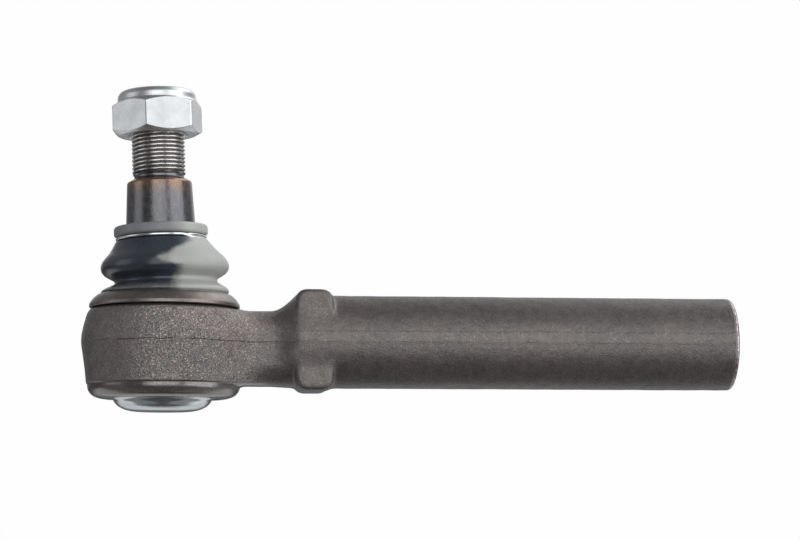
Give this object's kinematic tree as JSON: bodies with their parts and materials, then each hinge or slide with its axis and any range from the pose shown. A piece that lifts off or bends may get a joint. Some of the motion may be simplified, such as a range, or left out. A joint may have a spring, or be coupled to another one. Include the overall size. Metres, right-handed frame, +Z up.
{
  "type": "tie rod end",
  "caption": "Steering ball joint with a long internally threaded shank, tapered ball stud, rubber boot with clamp rings, and a hexagon lock nut.",
  "frame": {"origin": "centre of the shank's open end, on the axis of its thread", "axes": "+X along the shank, out of its open end; +Z up the stud; +Y completes the right hand, across the wrench flats"},
  "size_m": [0.2463, 0.0618, 0.1215],
  "materials": {
    "forged_steel": "forged and phosphated, grainy, warm dark grey",
    "stud_steel": "ground, with a heat tint from hardening",
    "zinc_plate": "bright zinc plate",
    "phosphated_steel": "pressed, phosphated, satin",
    "boot_rubber": "smooth blue grey rubber with a soft sheen",
    "acetal": "moulded, natural white",
    "nylon": "moulded, natural white",
    "spring_steel": "oiled spring wire",
    "nitrile": "black, matt"
  },
  "bodies": {
    "socket": {"housing": "forged_steel", "end_cap": "zinc_plate", "cover_seal_ring": "nitrile", "preload_spring": "spring_steel", "pressure_plate": "stud_steel", "boot_press_ring": "phosphated_steel"},
    "ball_seats": {"upper_ball_seat": "acetal", "lower_ball_seat": "acetal", "dust_boot": "boot_rubber"},
    "boot_collar": {"boot_upper_clamp": "zinc_plate"},
    "stud": {"ball_stud": "stud_steel"},
    "nut_core": {"nut_insert": "nylon"},
    "nut": {"lock_nut": "zinc_plate"}
  },
  "joints": [
    {"name": "swing_direction", "type": "hinge", "parent": "socket", "child": "ball_seats", "pos_m": [-0.2154, 0, 0], "axis": [0, 0, 1], "continuous": true},
    {"name": "stud_tilt", "type": "hinge", "parent": "ball_seats", "child": "boot_collar", "pos_m": [-0.2154, 0, 0], "axis": [0, 1, 0], "range_deg": [-17.61, 22.39], "deforming": ["dust_boot"]},
    {"name": "stud_spin", "type": "hinge", "parent": "boot_collar", "child": "stud", "pos_m": [-0.2154, 0, 0], "axis": [-0.0417, 0, 0.9991], "continuous": true},
    {"name": "nut_advance", "type": "slide", "parent": "stud", "child": "nut_core", "axis": [-0.0417, 0, 0.9991], "range_m": [-0.0135, 0.012]},
    {"name": "nut_turn", "type": "hinge", "parent": "nut_core", "child": "nut", "pos_m": [-0.21899, 0, 0.08593], "axis": [-0.0417, 0, 0.9991], "range_deg": [-3240, 2880]}
  ],
  "couplings": [
    {"joint": "nut_advance", "follows": "nut_turn", "m_per_rad": 0.00023873}
  ]
}
